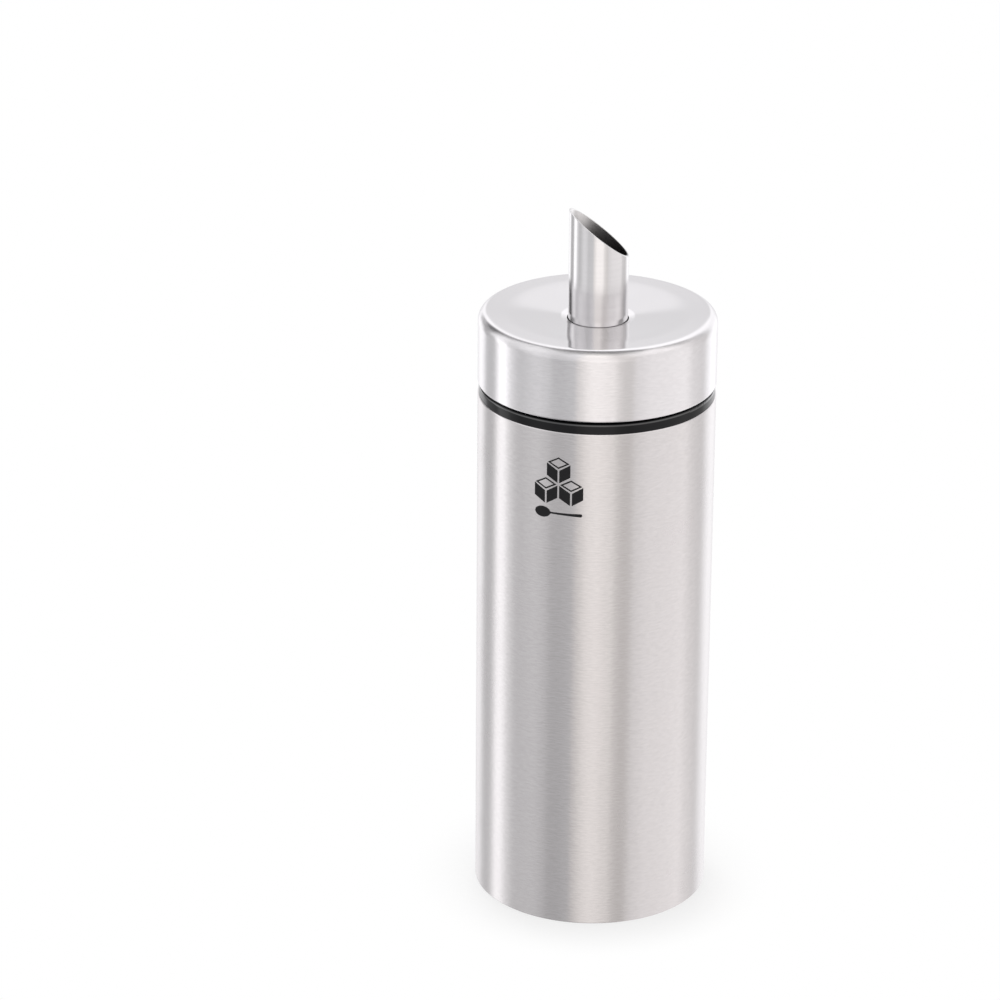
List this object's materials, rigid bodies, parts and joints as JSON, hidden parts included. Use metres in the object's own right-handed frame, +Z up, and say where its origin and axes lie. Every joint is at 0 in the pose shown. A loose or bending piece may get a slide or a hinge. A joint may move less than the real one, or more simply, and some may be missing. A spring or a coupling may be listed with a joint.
{
  "type": "sugar dispenser",
  "caption": "Slim brushed-steel sugar dispenser: round can, black neck ring, screw lid, slanted steel spout tube through the lid and a dosing cup inside.",
  "frame": {"origin": "middle of the standing edge, on the surface that the dispenser stands on", "axes": "+Z up along the can and the spout; +X towards the low side of the spout's slanted cut"},
  "size_m": [0.056, 0.056, 0.171],
  "materials": {
    "can_steel": "brushed round",
    "lid_steel": "brushed round",
    "spout_steel": "polished",
    "base_steel": "mill",
    "spring_steel": "blank",
    "black_plastic": "gloss",
    "insert_plastic": "satin",
    "dosing_plastic": "satin, milky",
    "seal_silicone": "matt",
    "o_ring_rubber": "matt"
  },
  "bodies": {
    "container": {"can_shell": "can_steel", "base_plate": "base_steel", "neck_ring": "black_plastic"},
    "seal": {"lid_seal": "seal_silicone"},
    "lid": {"lid_shell": "lid_steel", "lid_insert": "insert_plastic", "spout_tube": "spout_steel", "spout_o_ring": "o_ring_rubber", "spout_retainer": "spring_steel", "dosing_funnel": "dosing_plastic", "dosing_cup": "dosing_plastic"}
  },
  "joints": [
    {"name": "lid_lift", "type": "slide", "parent": "container", "child": "seal", "axis": [0, 0, 1], "range_m": [0, 0.0037]},
    {"name": "lid_turn", "type": "hinge", "parent": "seal", "child": "lid", "pos_m": [0, 0, 0.1365], "axis": [0, 0, 1], "range_deg": [0, 190]}
  ],
  "couplings": [
    {"joint": "lid_lift", "follows": "lid_turn", "m_per_rad": 0.0011141}
  ]
}
